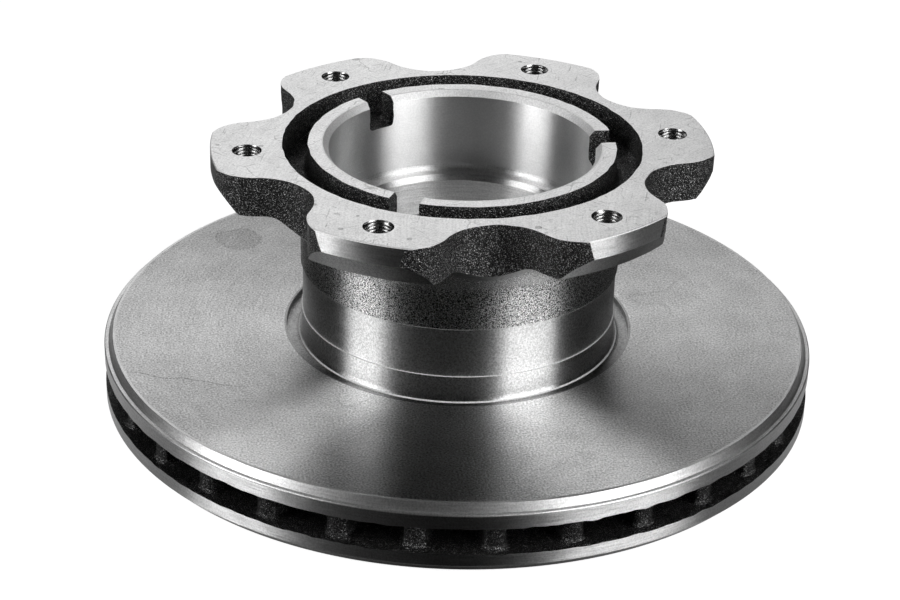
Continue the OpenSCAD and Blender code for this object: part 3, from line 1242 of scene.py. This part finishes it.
    def dots(self, scale: float, size: float) -> bpy.types.NodeSocket:
        """Small round spots, one in each cell of a random pattern, whose sizes differ.

        Args:
            scale: Cells per metre.
            size: Size of the largest spot, in cells.

        Returns:
            1 on a spot and 0 beside it.
        """
        cell = self.node("ShaderNodeTexVoronoi", feature="F1")
        self.feed(cell.inputs["Vector"], self.place)
        cell.inputs["Scale"].default_value = scale
        share = self.split(cell.outputs["Color"])[0]
        reach = self.times(self.math("POWER", share, 3.0), size)
        return self.math("LESS_THAN", cell.outputs["Distance"], reach)


class Finish(NodeSketch):
    """A material with one Principled shader."""

    def __init__(self, name: str) -> None:
        """Start a material with this name and a plain shader."""
        self.material = bpy.data.materials.new(name)
        self.material.use_nodes = True
        super().__init__(self.material.node_tree)
        self.shader = self.node("ShaderNodeBsdfPrincipled")
        self.feed(self.node("ShaderNodeOutputMaterial").inputs["Surface"], self.shader.outputs["BSDF"])

    def set(self, **values: object) -> None:
        """Feed the shader's inputs; an underscore in a key stands for a space."""
        for key, value in values.items():
            self.feed(self.shader.inputs[key.replace("_", " ")], value)

    def round_grooves(self, roughness: object, anisotropy: float) -> None:
        """Stretch the highlights across grooves that run round the axis."""
        tangent = self.node("ShaderNodeTangent", direction_type="RADIAL", axis="Z").outputs[0]
        self.set(Roughness=roughness, Anisotropic=anisotropy, Anisotropic_Rotation=0.25, Tangent=tangent)


@dataclass(frozen=True)
class TurnedIron:
    """Turned iron: fine grooves round the axis, which draw the highlights out across them.

    The heights of grooves and specks are in metres, and the pitches are in patterns per metre.
    """

    name: str = "turned_iron"
    shade: float = 0.70
    roughness: float = 0.28
    anisotropy: float = 1.0
    groove: float = 0.0002
    groove_pitch: float = 3000.0
    speck: float = 0.00002
    speck_pitch: float = 1400.0
    salt: float = 0.10
    mottle: float = 0.05
    streak: float = 0.0
    streak_pitch: float = 1500.0
    feather: float = 0.0

    def make(self) -> bpy.types.Material:
        """Draw the material: groove noise runs fast over radius and height and slowly round the axis."""
        sketch = Finish(self.name)
        self.dress(sketch, 0.0)
        return sketch.material

    def dress(self, sketch: Finish, marks: object) -> None:
        """Feed the shader.

        Args:
            sketch: Finish that is drawn.
            marks: Change of the shade by marks on the surface.
        """
        speck = sketch.noise(sketch.place, self.speck_pitch, 1.0, 0.6)
        cloud = sketch.noise(sketch.place, 45.0, 4.0, 0.6)
        tone = sketch.sum(
            self.shade,
            sketch.range(cloud, 0.3, 0.7, -self.mottle, self.mottle),
            sketch.range(speck, 0.3, 0.7, -self.salt, self.salt),
            marks,
        )
        roughness: object = self.roughness
        if self.streak or self.feather:
            streaks = self.rings(sketch, self.streak_pitch)
        if self.streak:
            tone = sketch.sum(tone, sketch.range(streaks, 0.3, 0.7, -self.streak, self.streak))
        if self.feather:
            low, high = self.roughness - self.feather, self.roughness + self.feather
            roughness = sketch.range(streaks, 0.3, 0.7, low, high)
        sketch.round_grooves(roughness, self.anisotropy)
        grooved = None
        if self.groove:
            grooved = sketch.bump(self.rings(sketch, self.groove_pitch), 1.0, self.groove)
        normal = sketch.bump(speck, 1.0, self.speck, grooved)
        sketch.set(Base_Color=sketch.grey(tone), Metallic=1.0, Normal=normal)

    @staticmethod
    def rings(sketch: Finish, pitch: float) -> bpy.types.NodeSocket:
        """Noise that changes quickly over radius and height and slowly round the axis."""
        x, y, z = sketch.split(sketch.place)
        across = sketch.times(sketch.radius(), pitch), sketch.times(z, pitch)
        around = sketch.times(x, 90.0), sketch.times(y, 90.0)
        return sketch.noise(sketch.join(*across, around[0]), 1.0, 1.0, 0.5, w=around[1])


@dataclass(frozen=True)
class FrictionFace(TurnedIron):
    """The face that the pads rub: sandy, with dark dots, stains, tide marks and a few scratches."""

    name: str = "friction_face"
    roughness: float = 0.405
    groove: float = 0.00003
    speck: float = 0.00009
    speck_pitch: float = 1200.0
    salt: float = 0.26
    mottle: float = 0.08
    feather: float = 0.03

    def make(self) -> bpy.types.Material:
        """Draw the material: turned iron with marks over it."""
        sketch = Finish(self.name)
        stain = sketch.noise(sketch.place, 22.0, 5.0, 0.6)
        tide = sketch.contours(14.0, 0.56, 0.006)
        marks = sketch.sum(
            sketch.times(sketch.dots(230.0, 0.13), -0.22),
            sketch.times(sketch.scratches(-18.0, 0.050, 0.0010, 0.76), -0.09),
            sketch.range(stain, 0.60, 0.74, 0.0, -0.16),
            sketch.times(sketch.drop(-0.088, 0.091, 0.010), -0.22),
            sketch.times(sketch.hair((-0.143, -0.031), (-0.092, -0.050), 0.0005), -0.30),
            sketch.times(tide, sketch.range(stain, 0.48, 0.6, 0.0, -0.10)),
        )
        self.dress(sketch, marks)
        return sketch.material


@dataclass(frozen=True)
class MilledIron:
    """Milled faces: faint arcs of the cutter, fine dark scratches and small dents."""

    name: str = "milled_iron"
    shade: float = 0.825
    roughness: float = 0.46
    salt: float = 0.14
    cutter: tuple[float, float] = (0.19, -0.11)
    arc_pitch: float = 1400.0

    def make(self) -> bpy.types.Material:
        """Draw the material: the arcs are rings about the cutter's place beside the disc."""
        sketch = Finish(self.name)
        x, y, _ = sketch.split(sketch.place)
        reach = sketch.times(sketch.radius(*self.cutter), self.arc_pitch)
        slow = sketch.times(x, 30.0), sketch.times(y, 30.0)
        arcs = sketch.noise(sketch.join(reach, *slow), 1.0, 2.0, 0.6)
        speck = sketch.noise(sketch.place, 1300.0, 2.0, 0.6)
        cloud = sketch.noise(sketch.place, 60.0, 5.0, 0.65)
        hairs = [
            sketch.times(sketch.scratches(heading, 0.012, 0.0008, 0.76), -0.26)
            for heading in (20.0, 75.0, 131.0)
        ]
        curls = sketch.contours(45.0, 0.5, 0.008)
        smear = sketch.range(sketch.noise(sketch.place, 130.0, 5.0, 0.7), 0.62, 0.72, 0.0, -0.30)
        dent = sketch.dots(120.0, 0.22)
        tone = sketch.sum(
            self.shade,
            sketch.range(cloud, 0.3, 0.7, -0.06, 0.06),
            sketch.range(arcs, 0.3, 0.7, -0.05, 0.05),
            sketch.range(speck, 0.3, 0.7, -self.salt, self.salt),
            *hairs,
            sketch.times(curls, sketch.range(cloud, 0.48, 0.56, 0.0, -0.30)),
            smear,
            sketch.times(dent, -0.30),
        )
        height = sketch.sum(arcs, sketch.times(speck, 0.8))
        sketch.set(
            Base_Color=sketch.grey(tone),
            Metallic=1.0,
            Roughness=self.roughness,
            Normal=sketch.bump(height, 0.12, 0.0002),
        )
        return sketch.material


@dataclass(frozen=True)
class CastIron:
    """Shot-blasted casting skin: near black, with grains that glitter.

    The height of the grains is in metres, and their pitch is in patterns per metre.
    """

    name: str = "cast_skin"
    shade: float = 0.038
    roughness: float = 0.41
    grain: float = 0.0005
    grain_pitch: float = 1900.0
    bright: float = 0.50

    def make(self) -> bpy.types.Material:
        """Draw the material: grains of about half a millimetre on a coarser unevenness, with some bare."""
        sketch = Finish(self.name)
        grains = sketch.noise(sketch.place, self.grain_pitch, 1.0, 0.5)
        lumps = sketch.noise(sketch.place, 350.0, 3.0, 0.6)
        spots = sketch.noise(sketch.place, self.grain_pitch * 1.3, 0.0)
        bare = sketch.range(spots, 0.60, 0.72, 0.0, self.bright)
        tone = sketch.sum(sketch.range(grains, 0.3, 0.7, self.shade * 0.4, self.shade * 1.6), bare)
        coarse = sketch.bump(lumps, 0.5, 0.0008)
        sketch.set(
            Base_Color=sketch.grey(tone),
            Metallic=0.9,
            Roughness=self.roughness,
            Normal=sketch.bump(grains, 1.0, self.grain, coarse),
        )
        return sketch.material


def finishes() -> dict[Skin, TurnedIron | MilledIron | CastIron]:
    """The finish of each kind of surface.

    Returns:
        The finishes by skin.
    """
    return {
        Skin.TURNED: TurnedIron(
            shade=0.775, roughness=0.35, groove=1.35e-4, speck=1.2e-5, streak=0.08, feather=0.03
        ),
        Skin.FRICTION: FrictionFace(),
        Skin.MILLED: MilledIron(),
        Skin.CAST: CastIron(),
        Skin.BLASTED: TurnedIron(
            "blasted_neck", shade=0.4, roughness=0.44, groove=0.0, speck=6e-5, speck_pitch=2100.0, salt=0.6
        ),
        Skin.THREAD: TurnedIron(
            "cut_thread", shade=0.55, roughness=0.22, anisotropy=0.0, groove=0.0, speck=1e-5
        ),
        Skin.BORE: TurnedIron("bore", shade=0.83, roughness=0.43, groove=1.25e-4, speck=1e-5, salt=0.05),
        Skin.NECK: TurnedIron(
            "neck", shade=0.64, roughness=0.36, groove=0.0, speck=1.8e-5, salt=0.18, feather=0.07
        ),
        # Cast skin made darker and with fewer bright grains for the vents and the hollow: painted shade in
        # these recesses.
        Skin.VENT_PAINTED_SHADE: CastIron("vent_skin_painted_shade", shade=0.03, bright=0.28),
        # Turned iron at a much lower shade for the flange's underside and cone and the relief groove:
        # painted shade under the flange and in the groove.
        Skin.TURNED_PAINTED_SHADE: TurnedIron("turned_iron_painted_shade", shade=0.29, roughness=0.29, groove=1e-4),
        Skin.STEP: TurnedIron(
            "wear_step", shade=0.69, roughness=0.43, anisotropy=0.6, groove=1e-4, speck=1e-5, streak=0.08
        ),
        # Rough, even finish like a scuffed edge, with a lighter shade than the iron beside it: a painted
        # highlight line along edges, fillets and chamfers.
        Skin.EDGE: TurnedIron("scuffed_edge_painted_highlight", shade=0.9, roughness=0.6, anisotropy=0.0, groove=0.0),
    }


# Studio


@dataclass(frozen=True)
class SoftBox:
    """A rectangular lamp that faces the disc. Angles and spans are in degrees as seen from the disc."""

    name: str
    azimuth: float
    elevation: float
    width: float
    height: float
    radiance: float
    lean: float = 0.0
    distance: float = 2.2


@dataclass
class Studio:
    """Camera, lamps, floor and backdrop. Lengths are in metres and angles in degrees.

    In reflections the wall is bright round its middle, back, as far as the cosine
    wall_side, and from the floor up to the sine wall_top. The floor glows out to
    glow_reach, most on the side of glow_side, and glow_far of it is left beyond.
    """

    turn: float = -9.52
    pitch: float = 27.24
    yaw: float = -0.20
    roll: float = 1.60
    stand: tuple[float, float, float] = (0, -0.89035, 0.49803)
    focal_pixels: float = 2316.408
    frame_pixels: float = 900
    sensor_mm: float = 36
    aim: Vector = field(default_factory=lambda: Vector((0, 0, 0.06)))
    back: float = 93.0
    wall: float = 0.88
    wall_side: float = 0.96
    wall_top: float = 0.795
    glow: float = 0.506
    glow_side: float = 93.2
    glow_reach: float = 0.24
    glow_far: float = 0.04
    paper: float = 0.014
    paper_seen: float = 0.45
    paper_white: float = 0.86
    floor_half: float = 6.0
    floor_drop: float = 0.0001
    boxes: tuple[SoftBox, ...] = (
        SoftBox("left_box", -157.6, 22, 28.2, 49.6, 3.25, 3.4),
        SoftBox("right_box", -37.4, 21.2, 36.6, 73.9, 2.96, -6),
        SoftBox("back_box", 103.2, 30.7, 41.5, 41, 0.4),
    )

    def camera(self) -> None:
        """Set the camera at the photograph's angle.

        Its axes come from pitch, yaw and roll: ahead = cos(yaw) forward + sin(yaw)
        right, and the frame is then rolled about that line.
        """
        pitch, yaw, roll = (math.radians(a) for a in (self.pitch, self.yaw, self.roll))
        forward = Vector((0, math.cos(pitch), -math.sin(pitch)))
        right = Vector((1, 0, 0))
        up = right.cross(forward)
        ahead = math.cos(yaw) * forward + math.sin(yaw) * right
        side = math.cos(yaw) * right - math.sin(yaw) * forward
        x_axis = math.cos(roll) * side + math.sin(roll) * up
        y_axis = -math.sin(roll) * side + math.cos(roll) * up
        pose = Matrix.Identity(4)
        for column, axis in enumerate((x_axis, y_axis, -ahead, Vector(self.stand))):
            for row in range(3):
                pose[row][column] = axis[row]
        lens = bpy.data.cameras.new("camera")
        lens.lens = self.sensor_mm * self.focal_pixels / self.frame_pixels
        lens.sensor_width = self.sensor_mm
        lens.sensor_fit = "HORIZONTAL"
        lens.clip_end = 50
        camera = bpy.data.objects.new("camera", lens)
        camera.matrix_world = Matrix.Rotation(math.radians(self.turn), 4, "Z") @ pose
        bpy.context.scene.collection.objects.link(camera)
        bpy.context.scene.camera = camera

    def lamps(self) -> None:
        """Place the soft boxes; a lamp's power is four times its area times its radiance."""
        for box in self.boxes:
            light = bpy.data.lights.new(box.name, "AREA")
            light.shape = "RECTANGLE"
            light.size = 2 * box.distance * math.tan(math.radians(box.width / 2))
            light.size_y = 2 * box.distance * math.tan(math.radians(box.height / 2))
            light.energy = 4 * light.size * light.size_y * box.radiance
            lamp = bpy.data.objects.new(box.name, light)
            azimuth, elevation = math.radians(box.azimuth + self.turn), math.radians(box.elevation)
            level = math.cos(elevation)
            away = Vector((math.cos(azimuth) * level, math.sin(azimuth) * level, math.sin(elevation)))
            lean = Matrix.Rotation(math.radians(box.lean), 3, "Z")
            facing = away.to_track_quat("Z", "Y").to_matrix() @ lean
            lamp.location = self.aim + away * box.distance
            lamp.rotation_euler = facing.to_euler()
            lamp.visible_camera = False
            bpy.context.scene.collection.objects.link(lamp)

    def backdrop(self) -> None:
        """White all round for the camera; in reflections, white behind the disc and dark elsewhere."""
        world = bpy.data.worlds.new("backdrop")
        bpy.context.scene.world = world
        world.use_nodes = True
        sketch = NodeSketch(world.node_tree)
        out = sketch.node("ShaderNodeOutputWorld")
        shade = sketch.node("ShaderNodeBackground")
        way = sketch.node("ShaderNodeTexCoord").outputs["Generated"]
        towards = self._towards(sketch, way, self.back)
        side = sketch.range(towards, self.wall_side - 0.03, self.wall_side + 0.03, 0.0, self.wall)
        below = sketch.range(sketch.split(way)[2], self.wall_top - 0.06, self.wall_top + 0.06, 1.0, 0.0)
        wall = sketch.times(side, below)
        path = sketch.node("ShaderNodeLightPath")
        glossy, through = path.outputs["Is Glossy Ray"], path.outputs["Is Transmission Ray"]
        seen = sketch.times(sketch.math("MAXIMUM", glossy, through), wall)
        sketch.feed(shade.inputs["Strength"], sketch.math("MAXIMUM", seen, path.outputs["Is Camera Ray"]))
        sketch.feed(out.inputs["Surface"], shade.outputs[0])

    def _towards(
        self, sketch: NodeSketch, way: bpy.types.NodeSocket, azimuth: float
    ) -> bpy.types.NodeSocket:
        """Cosine of the angle between a direction, made level, and an azimuth in degrees."""
        x, y, _ = sketch.split(way)
        level = sketch.node("ShaderNodeVectorMath", operation="NORMALIZE")
        sketch.feed(level.inputs[0], sketch.join(x, y, 0.0))
        dot = sketch.node("ShaderNodeVectorMath", operation="DOT_PRODUCT")
        sketch.feed(dot.inputs[0], level.outputs[0])
        turn = math.radians(azimuth + self.turn)
        sketch.feed(dot.inputs[1], (math.cos(turn), math.sin(turn), 0))
        return dot.outputs["Value"]

    def floor(self) -> None:
        """A floor that the camera sees as white paper, with the disc's own soft shadow.

        In reflections it is bright near the disc, fades away from it, and fades
        from the back to the front: the glow times one plus the cosine of the
        angle from its brightest side.
        """
        mesh = bpy.data.meshes.new("floor")
        half = self.floor_half
        corners = [(-half, -half, 0), (half, -half, 0), (half, half, 0), (-half, half, 0)]
        mesh.from_pydata(corners, [], [(0, 1, 2, 3)])
        floor = bpy.data.objects.new("floor", mesh)
        floor.location.z = -self.floor_drop
        bpy.context.scene.collection.objects.link(floor)
        material = bpy.data.materials.new("floor_paper")
        material.use_nodes = True
        sketch = NodeSketch(material.node_tree)
        glow = sketch.node("ShaderNodeEmission")
        paper = sketch.node("ShaderNodeBsdfDiffuse")
        both = sketch.node("ShaderNodeAddShader")
        path = sketch.node("ShaderNodeLightPath")
        camera = path.outputs["Is Camera Ray"]
        towards = self._towards(sketch, sketch.place, self.glow_side)
        start, end = self.glow_reach - 0.04, self.glow_reach + 0.04
        near = sketch.range(sketch.radius(), start, end, self.glow, self.glow * self.glow_far)
        fade = sketch.times(sketch.sum(towards, 1.0), near)
        tone = sketch.range(camera, 0.0, 1.0, self.paper, self.paper_seen)
        sketch.feed(paper.inputs["Color"], sketch.grey(tone))
        lit = sketch.times(sketch.minus(1.0, camera), fade)
        white = sketch.times(camera, self.paper_white)
        sketch.feed(glow.inputs["Strength"], sketch.sum(lit, white))
        sketch.feed(both.inputs[0], paper.outputs[0])
        sketch.feed(both.inputs[1], glow.outputs[0])
        sketch.feed(sketch.node("ShaderNodeOutputMaterial").inputs["Surface"], both.outputs[0])
        mesh.materials.append(material)

    def build(self) -> None:
        """Set up the whole studio."""
        self.camera()
        self.lamps()
        self.backdrop()
        self.floor()
        bpy.context.scene.view_settings.view_transform = "Standard"
        LOG.info("studio: %d lamps", len(self.boxes))


def main() -> None:
    """Build the disc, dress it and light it."""
    logging.basicConfig(level=logging.INFO, format="%(name)s: %(message)s")
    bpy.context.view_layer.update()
    table = finishes()
    materials = [table[skin].make() for skin in Skin]
    disc = BrakeDisc(materials).build()
    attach(disc, "root")
    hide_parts("brake_disc")
    Studio().build()


if __name__ == "__main__":
    main()
